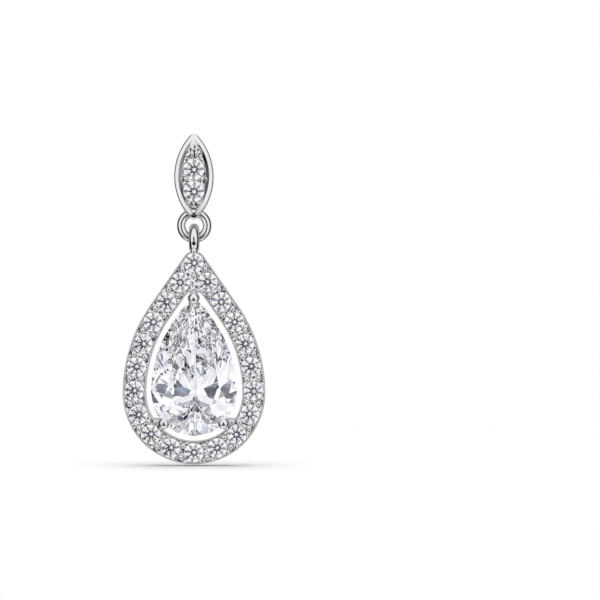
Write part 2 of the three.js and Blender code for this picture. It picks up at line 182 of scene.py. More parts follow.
def teardropStations(inset, tip, count):
    # count + 1 points and outward normals at equal steps along the right half, bottom to tip, then mirrored
    s = dropShape
    angle = s["tipHalfAngle"]
    sideX = s["headRadius"] - s["sideRadius"]
    head, side = s["headRadius"] - inset, s["sideRadius"] - inset
    flank = np.array([math.cos(angle), math.sin(angle)])
    tipY = (sideX * flank[0] + side - tip) / flank[1]
    sideEnd = np.array([sideX, 0]) + side * flank
    tipStart = np.array([0, tipY]) + tip * flank
    straight = np.linalg.norm(sideEnd - tipStart)
    ends = np.cumsum([head * math.pi / 2, side * angle, straight, tip * (math.pi / 2 - angle)])
    along = np.linspace(0, ends[-1], count + 1)
    onHead, onSide, onRun = along <= ends[0], along <= ends[1], along <= ends[2]
    turn = np.where(onHead, along / head - math.pi / 2, np.where(onSide, (along - ends[0]) / side, angle))
    past = np.clip((along - ends[2]) / max(tip, 1e-6), 0, math.pi / 2 - angle)
    turn = np.where(onRun, turn, angle + past)
    normal = np.stack([np.cos(turn), np.sin(turn)], -1)
    run = np.clip((along - ends[1]) / straight, 0, 1)[:, None]
    point = np.array([0, tipY]) + normal * tip
    point = np.where(onRun[:, None], sideEnd + (tipStart - sideEnd) * run, point)
    point = np.where(onSide[:, None], np.array([sideX, 0]) + normal * side, point)
    point = np.where(onHead[:, None], normal * head, point)
    flip = np.array([-1, 1])
    return np.concatenate([point, point[-2:0:-1] * flip]), np.concatenate([normal, normal[-2:0:-1] * flip])


def marquiseRows(halfWidth, halfHeight, tip, steps=(40, 16)):
    # A pointed oval: a side arc on the right, a round tip, the left arc and the lower tip. Arrays of rows.
    w, h, t = (np.atleast_1d(np.asarray(v, float))[:, None] for v in (halfWidth, halfHeight, tip))
    side = (w**2 + h**2 - 2 * h * t) / (2 * (w - t))
    sideX, tipY = w - side, h - t
    sweep = np.arctan2(tipY, -sideX)
    p = np.linspace(0, 1, steps[0], endpoint=False)[None, :]
    q = np.linspace(0, 1, steps[1], endpoint=False)[None, :]
    a = -sweep + 2 * sweep * p
    b = sweep + (math.pi - 2 * sweep) * q
    x = [sideX + side * np.cos(a), t * np.cos(b), -sideX - side * np.cos(a), -t * np.cos(b)]
    y = [side * np.sin(a), tipY + t * np.sin(b), -side * np.sin(a), -tipY - t * np.sin(b)]
    return np.concatenate(x, axis=1), np.concatenate(y, axis=1)


print("outlines ready")


def addNode(tree, kind, **values):
    # a new node with its properties set
    node = tree.nodes.new(kind)
    for key, value in values.items():
        setattr(node, key, value)
    return node


def feed(tree, socket, value):
    # links an output to the socket, or sets the socket to a number or colour
    if hasattr(value, "is_output"):
        tree.links.new(value, socket)
    elif value is not None:
        socket.default_value = value


def mathNode(tree, operation, *values):
    # the named operation on outputs or numbers
    node = addNode(tree, "ShaderNodeMath", operation=operation)
    for socket, value in zip(node.inputs, values):
        feed(tree, socket, value)
    return node.outputs[0]


def dotNode(tree, vector, constant):
    # vector . constant
    node = addNode(tree, "ShaderNodeVectorMath", operation="DOT_PRODUCT")
    tree.links.new(vector, node.inputs[0])
    node.inputs[1].default_value = tuple(map(float, constant))
    return node.outputs["Value"]


def rangeNode(tree, value, low, high, toLow=0.0, toHigh=1.0, kind="SMOOTHSTEP"):
    # from toLow at low to toHigh at high, in a smooth step or in a straight line
    node = addNode(tree, "ShaderNodeMapRange", interpolation_type=kind)
    keys = ("Value", "From Min", "From Max", "To Min", "To Max")
    for key, number in zip(keys, (value, low, high, toLow, toHigh)):
        feed(tree, node.inputs[key], number)
    return node.outputs["Result"]


def noiseNode(tree, vector, scale, detail=2.0):
    # cloudy noise over the vector
    node = addNode(tree, "ShaderNodeTexNoise")
    for key, value in (("Vector", vector), ("Scale", scale), ("Detail", detail)):
        feed(tree, node.inputs[key], value)
    return node.outputs["Fac"]


def cellsNode(tree, vector, scale):
    # distance to the nearest of many scattered points
    node = addNode(tree, "ShaderNodeTexVoronoi")
    for key, value in (("Vector", vector), ("Scale", scale)):
        feed(tree, node.inputs[key], value)
    return node.outputs["Distance"]


def mixNode(tree, factor, first, second):
    # first where the factor is 0 and second where it is 1
    node = addNode(tree, "ShaderNodeMix", data_type="RGBA")
    for key, value in (("Factor", factor), ("A", first), ("B", second)):
        feed(tree, node.inputs[key], value)
    return node.outputs["Result"]


def bumpNode(tree, height, distance, strength=1.0, normal=None):
    # the normal bent by the height
    node = addNode(tree, "ShaderNodeBump")
    keys = ("Height", "Distance", "Strength", "Normal")
    for key, value in zip(keys, (height, distance, strength, normal)):
        feed(tree, node.inputs[key], value)
    return node.outputs["Normal"]


def shaderGroup(name, numbers, colours, outputs):
    # an empty group with its named sockets; the output Colour is a colour, and the others are values
    group = bpy.data.node_groups.new(name, "ShaderNodeTree")
    face = group.interface
    for key, value in numbers.items():
        face.new_socket(key, in_out="INPUT", socket_type="NodeSocketFloat").default_value = value
    for key in colours:
        face.new_socket(key, in_out="INPUT", socket_type="NodeSocketColor")
    for key in outputs:
        kind = "NodeSocketColor" if key == "Colour" else "NodeSocketFloat"
        face.new_socket(key, in_out="OUTPUT", socket_type=kind)
    given, out = addNode(group, "NodeGroupInput").outputs, addNode(group, "NodeGroupOutput").inputs
    return group, given, out, addNode(group, "ShaderNodeTexCoord").outputs["Object"]


def groupNode(tree, group, values):
    # a node of the group with its inputs set
    node = addNode(tree, "ShaderNodeGroup", node_tree=group)
    for key, value in values.items():
        node.inputs[key].default_value = (*value, 1) if isinstance(value, tuple) else value
    return node.outputs


def newMaterial(name):
    # a material with its tree and its shader's sockets
    material = bpy.data.materials.new(name)
    material.use_nodes = True
    return material, material.node_tree, material.node_tree.nodes["Principled BSDF"].inputs


silverLook = {
    "colour": (0.9, 0.905, 0.92),
    "shade": (0.74, 0.745, 0.765),
    # painted shade: the dark grey laid into corners and under the stones, with its noise and break below
    "cornerShade": (0.1, 0.1, 0.11),
    "scale": 900.0,
    "cloud": 600.0,
    "cornerShadeNoise": 2500.0,
    "cornerShadeBreak": 0.2,
    "bump": 0.02,
    "bumpDepth": 0.00002,
    "cutDepth": 0.00009,
    "hairlines": 20.0,  # times finer than the slow unevenness
    "strokes": ((0.5, (0.05, 1.0, 1.0)), (-0.7, (1.0, 1.0, 0.06))),  # turn in radians, and stretch
    "corners": 16,
}


def polishGroup():
    # Hand polish on metal: hairlines a and b that cross in two directions and a slow unevenness n. Roughness
    # runs from Low to High with a b Lines + n, and the height is a b.
    numbers = {"Scale": 900.0, "Low": 0.03, "High": 0.1, "Lines": 0.5}
    group, given, out, place = shaderGroup("handPolish", numbers, (), ("Roughness", "Height"))
    fine = mathNode(group, "MULTIPLY", given["Scale"], silverLook["hairlines"])
    lines = []
    for turn, stretch in silverLook["strokes"]:
        mapping = addNode(group, "ShaderNodeMapping")
        mapping.inputs["Rotation"].default_value = (turn, turn * 0.6, turn)
        mapping.inputs["Scale"].default_value = stretch
        feed(group, mapping.inputs["Vector"], place)
        lines.append(noiseNode(group, mapping.outputs["Vector"], fine, 3.0))
    both = mathNode(group, "MULTIPLY", *lines)
    wear = mathNode(group, "MULTIPLY_ADD", both, given["Lines"], noiseNode(group, place, given["Scale"]))
    rough = rangeNode(group, wear, 0.35, 0.85, given["Low"], given["High"], "LINEAR")
    feed(group, out["Roughness"], rough)
    feed(group, out["Height"], both)
    return group


def toneAndShadeGroup():
    # The metal's colour: a slow cloud mixes Bright and Shade, and a dark grey painted shade lies in corners
    # and under the stones, where the space before the surface is closed in nearer than Reach. With open space
    # o and noise n, the painted shade fades out as o + n / 5 passes from Closed to Open.
    numbers = {"Reach": 0.0004, "Closed": 0.25, "Open": 0.75}
    group, given, out, place = shaderGroup("silverToneAndCornerShade", numbers, ("Bright", "Shade", "Film"), ("Colour",))
    cloud = noiseNode(group, place, silverLook["cloud"])
    tone = mixNode(group, cloud, given["Bright"], given["Shade"])
    # painted shade: ambient occlusion darkens the colour where the surface is closed in
    corners = addNode(group, "ShaderNodeAmbientOcclusion")
    corners.samples = silverLook["corners"]
    feed(group, corners.inputs["Distance"], given["Reach"])
    noise = noiseNode(group, place, silverLook["cornerShadeNoise"])
    broken = mathNode(group, "MULTIPLY_ADD", noise, silverLook["cornerShadeBreak"], corners.outputs["AO"])
    unshaded = rangeNode(group, broken, given["Closed"], given["Open"])
    feed(group, out["Colour"], mixNode(group, unshaded, given["Film"], tone))
    return group


def graverGroup():
    # Bright cuts of a graver on the metal between the stones: small slanting facets from the distance to
    # scattered points, only where the depth behind the face lies between Top and Bottom.
    numbers = {"Scale": 3600.0, "Top": -0.00114, "Bottom": -0.0009}
    group, given, out, place = shaderGroup("graverCuts", numbers, (), ("Height",))
    split = addNode(group, "ShaderNodeSeparateXYZ")
    feed(group, split.inputs[0], place)
    below = mathNode(group, "GREATER_THAN", split.outputs["Y"], given["Top"])
    above = mathNode(group, "LESS_THAN", split.outputs["Y"], given["Bottom"])
    band = mathNode(group, "MULTIPLY", below, above)
    feed(group, out["Height"], mathNode(group, "MULTIPLY", band, cellsNode(group, place, given["Scale"])))
    return group


def cloudGroup():
    # The stones' faint unevenness from one noise: a breath of tint, the polish dust where the noise is high,
    # and a height that bends the flat facets by well under a degree, so that each holds a gradient.
    numbers = {"Scale": 300.0, "Dust": 0.01}
    outputs = ("Colour", "Roughness", "Height")
    group, given, out, place = shaderGroup("stoneCloud", numbers, ("Clear", "Faint"), outputs)
    cloud = noiseNode(group, place, given["Scale"], 0.5)
    feed(group, out["Colour"], mixNode(group, cloud, given["Clear"], given["Faint"]))
    feed(group, out["Roughness"], rangeNode(group, cloud, 0.55, 0.8, 0.0, given["Dust"], "LINEAR"))
    feed(group, out["Height"], cloud)
    return group


handPolish, silverToneAndCornerShade, graverCuts, stoneCloud = polishGroup(), toneAndShadeGroup(), graverGroup(), cloudGroup()


def silverMaterial(name, low, high, lines, reach, closed, open, cuts=None):
    # polished white metal, with the wear of the polish in its roughness and bump and painted shade in its
    # corners; cuts are the two heights in millimetres between which a graver has worked
    material, tree, shader = newMaterial(name)
    shader["Metallic"].default_value = 1.0
    values = {"Scale": silverLook["scale"], "Low": low, "High": high, "Lines": lines}
    polish = groupNode(tree, handPolish, values)
    values = {"Reach": reach, "Closed": closed, "Open": open}
    values.update(Bright=silverLook["colour"], Shade=silverLook["shade"], Film=silverLook["cornerShade"])
    # the colour carries painted shade in corners and under the stones
    tone = groupNode(tree, silverToneAndCornerShade, values)
    slants = None
    if cuts is not None:
        graver = groupNode(tree, graverCuts, {"Top": cuts[0] * mm, "Bottom": cuts[1] * mm})
        slants = bumpNode(tree, graver["Height"], silverLook["cutDepth"])
    bend = bumpNode(tree, polish["Height"], silverLook["bumpDepth"], silverLook["bump"], slants)
    feed(tree, shader["Base Color"], tone["Colour"])
    feed(tree, shader["Roughness"], polish["Roughness"])
    feed(tree, shader["Normal"], bend)
    return material


stoneLook = {
    "ior": 2.16,
    "clear": (1.0, 1.0, 1.0),
    "dust": 0.012,
    "pear": (300.0, 0.03, (0.985, 0.99, 1.0)),  # cloud's scale, wave in millimetres, faint tint
    "round": (900.0, 0.008, (0.985, 0.975, 0.955)),
}


def stoneMaterial(name, scale, wave, faint):
    # clear cubic zirconia: a plain transmitting shader with the cloud in its colour, gloss and normal
    material, tree, shader = newMaterial(name)
    shader["Metallic"].default_value = 0.0
    shader["Transmission Weight"].default_value = 1.0
    shader["IOR"].default_value = stoneLook["ior"]
    values = {"Scale": scale, "Clear": stoneLook["clear"], "Faint": faint, "Dust": stoneLook["dust"]}
    cloud = groupNode(tree, stoneCloud, values)
    feed(tree, shader["Base Color"], cloud["Colour"])
    feed(tree, shader["Roughness"], cloud["Roughness"])
    feed(tree, shader["Normal"], bumpNode(tree, cloud["Height"], wave * mm))
    return material


# roughness from and to, hairlines, reach of the painted corner shade in metres, its closed and open ends,
# graver cuts
silverStud = silverMaterial("polishedSilverStud", 0.03, 0.08, 0.4, 0.0005, 0.15, 0.7, (-1.47, -1.2))
silverHalo = silverMaterial("polishedSilverHalo", 0.04, 0.1, 0.6, 0.0003, 0.2, 0.85, (-1.14, -0.9))
silverBead = silverMaterial("polishedSilverBead", 0.02, 0.06, 0.3, 0.0003, 0.25, 0.75)
silverClaw = silverMaterial("polishedSilverClaw", 0.02, 0.06, 0.3, 0.0003, 0.1, 0.6)
silverPost = silverMaterial("polishedSilverPost", 0.08, 0.2, 0.9, 0.0003, 0.1, 0.6)
satinSolder = silverMaterial("satinSilverSolder", 0.28, 0.45, 0.5, 0.0002, 0.1, 0.5)
clearPear = stoneMaterial("clearPearStone", *stoneLook["pear"])
clearRound = stoneMaterial("clearRoundStones", *stoneLook["round"])
print("materials ready")


# shares of the girdle's half width, but for the number of mains and the pear's culet in millimetres
roundCut = {
    "mains": 8,
    "crown": 0.32,
    "table": 0.56,
    "stars": 0.55,
    "girdle": 0.05,
    "pavilion": 0.86,
    "halves": 0.77,
    "cadDepth": 0.89,  # girdle over the culet of the CAD stone
}
pearCut = {
    "mains": 10,
    "crown": 0.3,
    "table": 0.58,
    "stars": 0.5,
    "girdle": 0.035,
    "pavilion": 0.8,
    "halves": 0.72,
    "crownCentre": 0.34,
    "culet": (0.13, 0.05),
}


def tangentCorners(point, normal):
    # Where the girdle's tangents at neighbouring mains meet, or halfway between on a straight run. A tangent
    # is the line of points p with p . normal = point . normal, and two of them are solved for p.
    nextPoint, nextNormal = np.roll(point, -1, axis=0), np.roll(normal, -1, axis=0)
    reach, nextReach = (point * normal).sum(-1), (nextPoint * nextNormal).sum(-1)
    cross = normal[:, 0] * nextNormal[:, 1] - normal[:, 1] * nextNormal[:, 0]
    straight = abs(cross) < 1e-6
    safe = np.where(straight, 1, cross)
    x = (reach * nextNormal[:, 1] - nextReach * normal[:, 1]) / safe
    y = (nextReach * normal[:, 0] - reach * nextNormal[:, 0]) / safe
    meet = np.stack([x, y], -1)
    return np.where(straight[:, None], (point + nextPoint) / 2, meet)


def brilliantCut(point, normal, halfWidth, cut, crownCentre, culet=(0, 0)):
    # Rows of corners from the table down to the culet, each an outline scaled towards a centre: the crown's
    # to the middle of the table, the pavilion's to the culet, so that the facets are flat. The culet may stand
    # a little off the centre, as on a hand-turned stone.
    m = len(point) // 2
    corners = tangentCorners(point[::2], normal[::2])
    edge = halfWidth * cut["girdle"] / 2
    crown, pavilion = halfWidth * cut["crown"], halfWidth * cut["pavilion"]
    starShare = 1 - (1 - cut["table"]) * cut["stars"]
    centre = np.array(crownCentre, float)
    rows = [
        (centre + (point[::2] - centre) * cut["table"], edge + crown),
        (centre + (corners - centre) * starShare, edge + crown * cut["stars"]),
        (point, edge),
        (point, -edge),
        (corners + (np.array(culet) - corners) * cut["halves"], -edge - pavilion * cut["halves"]),
        (np.array([culet], float), -edge - pavilion),
    ]
    verts = np.concatenate([np.column_stack([p, np.full(len(p), z)]) for p, z in rows])
    table, star, upper, lower, half, last = np.cumsum([0] + [len(p) for p, _ in rows[:-1]])
    i = np.arange(m)
    before, after = (i - 1) % m, (i + 1) % m
    at, mid, far = 2 * i, 2 * i + 1, (2 * i + 2) % (2 * m)
    j = np.arange(2 * m)
    nextJ = (j + 1) % (2 * m)
    point0 = np.full(m, last)
    quads = [
        np.stack([table + i, star + before, upper + at, star + i], -1),
        np.stack([point0, half + i, lower + at, half + before], -1),
        np.stack([lower + j, lower + nextJ, upper + nextJ, upper + j], -1),
    ]
    triangles = [
        np.stack([table + i, star + i, table + after], -1),
        np.stack([star + i, upper + at, upper + mid], -1),
        np.stack([star + i, upper + mid, upper + far], -1),
        np.stack([half + i, lower + mid, lower + at], -1),
        np.stack([half + i, lower + far, lower + mid], -1),
    ]
    faces = [tuple(table + i)] + [tuple(f) for block in quads + triangles for f in block]
    return verts, faces


def roundOutline(radius, mains):
    # a circle in steps of half a main: x = r cos a, y = r sin a
    angle = np.arange(2 * mains) * math.pi / mains
    normal = np.stack([np.cos(angle), np.sin(angle)], -1)
    return normal * radius, normal


def placed(verts, spin, tilt, lean, centre):
    # turned about its own axis by spin, tipped by tilt, turned by lean, and moved to its seat
    s, c = math.sin(spin), math.cos(spin)
    spun = verts @ np.array([[c, s, 0], [-s, c, 0], [0, 0, 1]])
    s, c = math.sin(tilt), math.cos(tilt)
    tipped = spun @ np.array([[1, 0, 0], [0, c, s], [0, -s, c]])
    s, c = math.sin(lean), math.cos(lean)
    return tipped @ np.array([[c, s, 0], [-s, c, 0], [0, 0, 1]]) + centre


def stonePlace(node):
    # the middle, girdle height and radius of a round CAD stone, from its box
    low, high = np.array(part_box(node)) / mm
    radius = (high[0] - low[0]) / 2
    girdleZ = -high[1] + radius * roundCut["cadDepth"]
    return np.array([(low[0] + high[0]) / 2, (low[2] + high[2]) / 2, girdleZ]), radius


def roundStone(name, node, body, tiltRange):
    # a round brilliant in the seat of its CAD stone, at its girdle height; returns that middle
    centre, radius = stonePlace(node)
    point, normal = roundOutline(radius, roundCut["mains"])
    verts, faces = brilliantCut(point, normal, radius, roundCut, (0, 0))
    spin = rng.uniform(0, math.pi / 4)
    tilt = math.radians(rng.uniform(-tiltRange, tiltRange))
    lean = rng.uniform(0, math.pi)
    x, y, z = placed(verts, spin, tilt, lean, centre).T
    put(meshObject(name, toFrame(x, y, z), faces), body, "crystal", clearRound, node)
    return centre


stoneTilt = {"halo": 5.0, "stud": 1.0}  # degrees at most
haloCentres = np.array([
    roundStone(f"haloStone{number:02d}", f"halo_stone_{number:02d}", "drop", stoneTilt["halo"])
    for number in range(1, 21)
])
studCentres = np.array([
    roundStone(f"studStone{place.capitalize()}", f"stud_stone_{place}", "stud", stoneTilt["stud"])
    for place in ("upper", "lower")
])

pearInset = dropShape["bandWidth"] + dropShape["pearGap"]
pearHalfWidth = dropShape["headRadius"] - pearInset
pearGirdleZ = haloFront + dropShape["pearRise"]
pearPoint, pearNormal = teardropStations(pearInset, dropShape["pearTip"], pearCut["mains"])
crownCentre = (0, pearCut["crownCentre"] * pearHalfWidth)
pearVerts, pearFaces = brilliantCut(
    pearPoint, pearNormal, pearHalfWidth, pearCut, crownCentre, pearCut["culet"]
)
x, y, z = pearVerts.T
pearStone = meshObject("pearStone", toFrame(x, y + headY, z + pearGirdleZ), pearFaces)
put(pearStone, "drop", "crystal", clearPear, "pear_stone")
print("stones cut")


def latheCopies(name, profile, centres, columns, smoothAngle, closed=False):
    # a profile (r, h) turned about each centre c: x = cx + r cos a, y = cy + r sin a, z = cz + h
    r, h = np.array(profile, float).T
    a = np.linspace(0, 2 * math.pi, columns, endpoint=False)
    c = np.array(centres, float)[:, :, None, None]
    x = c[:, 0] + r[:, None] * np.cos(a)
    y = c[:, 1] + r[:, None] * np.sin(a)
    z = c[:, 2] + h[:, None] + 0 * a
    faces = gridFaces(len(r), columns, closed, True, len(centres))
    return meshObject(name, toFrame(x, y, z), faces, smoothAngle)


def wireAlong(name, path, radius, across, columns=24, smoothAngle=50):
    # A round section of the given radius carried along a path in the plane square to across, with shut ends:
    # path + r (side cos a + out sin a), with out square to the path and to side.
    path, radius = np.asarray(path, float), np.asarray(radius, float)
    along = np.gradient(path, axis=0)
    along /= np.linalg.norm(along, axis=1)[:, None]
    side = np.asarray(across, float) / np.linalg.norm(across)
    out = np.cross(along, side)
    a = np.linspace(0, 2 * math.pi, columns, endpoint=False)[None, :, None]
    ring = np.cos(a) * side + np.sin(a) * out[:, None, :]
    tube = path[:, None, :] + ring * radius[:, None, None]
    shut = [np.repeat(path[end, None, None], columns, 1) for end in (0, -1)]
    tube = np.concatenate([shut[0], tube, shut[1]])
    faces = gridFaces(len(tube), columns, False, True)
    return meshObject(name, toFrame(tube[..., 0], tube[..., 1], tube[..., 2]), faces, smoothAngle)


def ringAbout(name, centre, radius, wire, axis, rows=72, columns=28):
    # a torus: a circle of the wire's radius carried round a circle of the ring's radius
    u = np.linspace(0, 2 * math.pi, rows, endpoint=False)[:, None]
    v = np.linspace(0, 2 * math.pi, columns, endpoint=False)[None, :]
    flat, rise = radius + wire * np.cos(v), wire * np.sin(v) + 0 * u
    if axis == "z":
        x, y, z = flat * np.cos(u), flat * np.sin(u), rise
    else:
        x, y, z = rise, flat * np.cos(u), flat * np.sin(u)
    faces = gridFaces(rows, columns, True, True)
    return meshObject(name, toFrame(x + centre[0], y + centre[1], z + centre[2]), faces, 60)


def domeProfile(radius, stem, steps=9):
    # a round head over a straight stem, its top at 0: r cos a and r sin a - r, then down by the stem
    a = np.linspace(math.pi / 2, 0, steps)
    head = np.column_stack([radius * np.cos(a), radius * np.sin(a) - radius])
    head[0, 0] = 0
    return np.concatenate([head, [[radius, -radius - stem], [0, -radius - stem]]])


beadStem = 0.3


def longBead(name, top, radius, length, columns=32):
    # a dome drawn out along y: x = r cos a, y = r sin a moved up or down by half the length, with the step
    # between the two smoothed as tanh(4 sin a)
    r, h = domeProfile(radius, beadStem).T
    a = np.linspace(0, 2 * math.pi, columns, endpoint=False)
    shift = np.tanh(4 * np.sin(a)) * length / 2
    x = top[0] + r[:, None] * np.cos(a)
    y = top[1] + r[:, None] * np.sin(a) + shift * (r[:, None] / radius)
    points = toFrame(x, y, top[2] + h[:, None] + 0 * a)
    return meshObject(name, points, gridFaces(len(r), columns, False, True), 50)


halo = {
    "rail": 0.12,
    "channel": 0.12,
    "edge": 0.05,
    "bead": 0.262,
    "beadOffset": 0.47,
    "beadRise": 0.1,
    "innerTip": 0.9,
    "railFoot": 0.03,
    "tipBead": (0.3, 1.02, 1.5, 0.5),  # radius, distance below the hinge, height of its top, stem
    "drill": 0.44,
    "drillPast": 0.2,
}
seat = {"open": 1.2, "lip": 0.03, "slack": 0.02}


def haloFrame():
    # the closed section of the band, (inset, height), carried round the teardrop
    width, rail, edge = dropShape["bandWidth"], halo["rail"], halo["edge"]
    floor = haloFront - halo["channel"]
    a = np.linspace(0, math.pi, 9)
    railTop = rail / 2 * np.column_stack([1 - np.cos(a), np.sin(a) - 1]) + [0, haloFront]
    b = np.linspace(0, math.pi / 2, 5)
    backEdge = np.column_stack([edge - edge * np.sin(b), haloBack + edge - edge * np.cos(b)])
    back = [[width / 2, haloBack], [edge * 2, haloBack]]
    half = np.concatenate([back, backEdge, railTop, [[rail + halo["railFoot"], floor]]])
    other = half[::-1] * [-1, 1] + [width, 0]
    section = np.concatenate([half, other])[:-1]
    inset, height = section.T
    radii = [width / 2, width / 2 - rail, halo["innerTip"] + rail, halo["innerTip"]]
    tip = np.interp(inset, [0, rail, width - rail, width], radii)
    x, y = teardropRows(inset, tip)
    faces = gridFaces(len(inset), x.shape[1], True, True)
    return meshObject("haloFrame", toFrame(x, y + headY, height[:, None]), faces, creaseAngle)


def seatCutter(name, centres, girdleZ, radius, bottomZ, drill):
    # straight above the girdle, a cone under it and a drilled hole down to bottomZ
    depth = radius * roundCut["pavilion"]
    profile = [
        (0, seat["open"]),
        (radius, seat["open"]),
        (radius, -seat["lip"]),
        (drill, -depth * (1 - drill / radius) - seat["lip"]),
        (drill, bottomZ - girdleZ),
        (0, bottomZ - girdleZ),
    ]
    return latheCopies(name, profile, [(x, y, girdleZ) for x, y, _ in centres], 40, None)


haloMiddle, haloStoneRadius = stonePlace("halo_stone_01")
haloPiece = haloFrame()
seatRadius = haloStoneRadius + seat["slack"]
haloSeats = seatCutter(
    "seats", haloCentres, haloMiddle[2], seatRadius, haloBack - halo["drillPast"], halo["drill"]
)
cutAway(haloPiece, haloSeats, creaseAngle)
put(haloPiece, "drop", "silver", silverHalo, "drop_setting")

# bead prongs in pairs between neighbouring stones, the inner one shared nearest the tip
betweenPoint, betweenNormal = teardropStations(dropShape["bandWidth"] / 2, 0.0, 20)
betweenPoint, betweenNormal = betweenPoint[1::2], betweenNormal[1::2]
beadSpots = []
for way in (1, -1):
    spots = betweenPoint + way * halo["beadOffset"] * betweenNormal
    keep = np.ones(len(spots), bool)
    if way < 0:
        keep[np.argsort(spots[:, 1])[-2:]] = False
    beadSpots.append(spots[keep])
reach = haloStoneRadius + halo["bead"]
beadSpots = np.concatenate(beadSpots + [[[0, haloCentres[:, 1].max() - headY - reach]]])
beadTop = haloFront - halo["channel"] + halo["bead"] + halo["beadRise"]
beadCentres = np.column_stack([beadSpots + [0, headY], np.full(len(beadSpots), beadTop)])
haloBeads = latheCopies("haloBeads", domeProfile(halo["bead"], beadStem), beadCentres, 24, 50)
put(haloBeads, "drop", "silver", silverBead, "drop_setting")
radius, below, top, stem = halo["tipBead"]
tipBead = latheCopies("tipBead", domeProfile(radius, stem), [(0, pivotY - below, top)], 32, 50)
put(tipBead, "drop", "silver", silverBead, "drop_setting")
print("halo set with", len(haloCentres), "stones and", len(beadCentres), "beads")


bail = {"radius": 0.83, "wire": 0.42}
bailPiece = ringAbout("bail", (0, pivotY, linkZ), bail["radius"], bail["wire"], "x")
put(bailPiece, "drop", "silver", silverClaw, "drop_setting")

claws = {
    "wire": 0.34,
    "ball": 0.5,
    "lean": 0.08,
    "clearance": 0.04,
    "angle": math.radians(45),
    "foot": 0.06,
    "stubReach": 0.3,  # share of the halo's band
    "shoulder": 0.36,
    "shoulderZ": 0.92,
    "shoulderRise": 0.05,
    "shoulderStart": 0.15,
    "shoulderLength": 0.85,
}


def claw(name, point, normal):
    # A wire up beside the girdle from its foot and bent inwards over the crown, (1 - t)^2 start + 2 t (1 - t)
    # bend + t^2 end, with a ball on the end, on a stub that reaches into the halo's wall.
    def spot(out, z):
        return np.array([point[0] + normal[0] * out, point[1] + headY + normal[1] * out, z])

    stand = claws["clearance"] + claws["wire"]
    footZ = haloBack + claws["foot"] + claws["wire"]
    slope = math.atan(pearCut["crown"] / (1 - pearCut["table"]))
    ballZ = pearGirdleZ + (claws["ball"] + claws["clearance"]) / math.cos(slope)
    t = np.linspace(0, 1, 14)[:, None]
    foot, start = spot(stand, footZ), spot(stand, pearGirdleZ)
    bend, end = spot(stand, ballZ), spot(-claws["lean"], ballZ)
    curve = (1 - t) ** 2 * start + 2 * t * (1 - t) * bend + t**2 * end
    stem = foot + np.linspace(0, 1, 6, endpoint=False)[:, None] * (start - foot)
    reach = dropShape["pearGap"] / math.sin(dropShape["tipHalfAngle"])
    reach += dropShape["bandWidth"] * claws["stubReach"]
    stub = np.linspace(foot, spot(reach, footZ), 4)
    for kind, path in (("Wire", np.concatenate([stem, curve])), ("Stub", stub)):
        wire = wireAlong(name + kind, path, np.full(len(path), claws["wire"]), (-normal[1], normal[0], 0))
        put(wire, "drop", "silver", silverClaw, "drop_setting")
    if abs(normal[0]) > 0.1:
        # a level solder shoulder that reaches from the ball's foot to the halo's inner rail
        t = np.linspace(0, 1, 14)
        way = np.array([np.sign(normal[0]), 0, 0])
        middle = np.array([end[0], end[1] + claws["shoulderRise"], claws["shoulderZ"]])
        bar = middle + way * (claws["shoulderStart"] + t[:, None] * claws["shoulderLength"])
        thickness = claws["shoulder"] * np.sqrt(np.clip(1 - ((t - 0.5) / 0.5) ** 4, 0.02, 1))
        shoulder = wireAlong(f"{name}Shoulder", bar, thickness, (0, 1, 0))
        put(shoulder, "drop", "silver", satinSolder, "drop_setting")
    a = np.linspace(-math.pi / 2, math.pi / 2, 25)
    ball = np.column_stack([claws["ball"] * np.cos(a), claws["ball"] * np.sin(a)])
    put(latheCopies(f"{name}Ball", ball, [end], 40, 80), "drop", "silver", silverClaw, "drop_setting")


way = np.array([math.cos(claws["angle"]), -math.sin(claws["angle"])])
claw("clawRight", way * pearHalfWidth, way)
claw("clawLeft", way * pearHalfWidth * [-1, 1], way * [-1, 1])
tipPoint, tipNormal = teardropStations(pearInset, dropShape["pearTip"], 4)
claw("clawTop", tipPoint[4], tipNormal[4])
print("bail and claws bent")


stud = {
    "outer": (1.6, 3.47, 0.45, 0.0),  # half width, half height, tip radius, shift of the middle
    "rim": (1.26, 2.99, 0.22, 0.03),
    "ledge": (0.96, 2.6, 0.3, 0.02),
    "pocket": (0.94, 2.36, 0.12, -0.17),
    "floor": (0.92, 2.3, 0.1, -0.18),
    "depth": 1.7,
    "shoulder": 1.48,
    "crest": 62,
    "ledgeHeight": 1.46,
    "lipHeight": 1.47,
    "floorHeight": 1.26,
    "edge": 0.12,
    "seatBottom": 0.45,
    "drill": 0.3,
}


